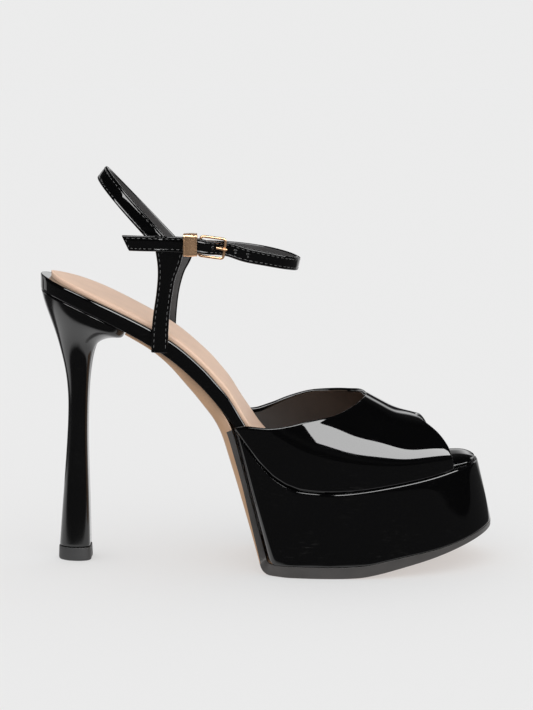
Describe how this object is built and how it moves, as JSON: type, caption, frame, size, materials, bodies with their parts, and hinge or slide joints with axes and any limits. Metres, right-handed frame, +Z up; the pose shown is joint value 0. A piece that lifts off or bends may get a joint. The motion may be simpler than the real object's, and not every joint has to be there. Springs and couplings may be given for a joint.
{
  "type": "peep toe platform sandal",
  "caption": "High heeled platform sandal with a peep toe vamp, open back and a buckled ankle strap on stays.",
  "frame": {"origin": "on the floor, under the middle of the shoe's length and width", "axes": "+X towards the toe, +Y towards the inner side of the foot, +Z up"},
  "size_m": [0.2172, 0.086, 0.1901],
  "materials": {
    "heel_tip": "matte",
    "heel": "patent gloss",
    "outsole": "smooth sole leather",
    "platform": "patent gloss",
    "insole_board": "patent gloss",
    "sock_lining": "soft matte",
    "upper": "patent gloss",
    "ankle_strap": "patent gloss",
    "buckle_frame": "polished rose gold",
    "buckle_prong": "polished rose gold",
    "strap_keeper": "polished rose gold"
  },
  "bodies": {
    "root": {"heel_tip": "heel_tip", "heel": "heel", "outsole": "outsole", "platform": "platform", "insole_board": "insole_board", "sock_lining": "sock_lining", "upper": "upper", "ankle_strap": "ankle_strap", "buckle_frame": "buckle_frame", "buckle_prong": "buckle_prong", "strap_keeper": "strap_keeper"}
  },
  "joints": []
}
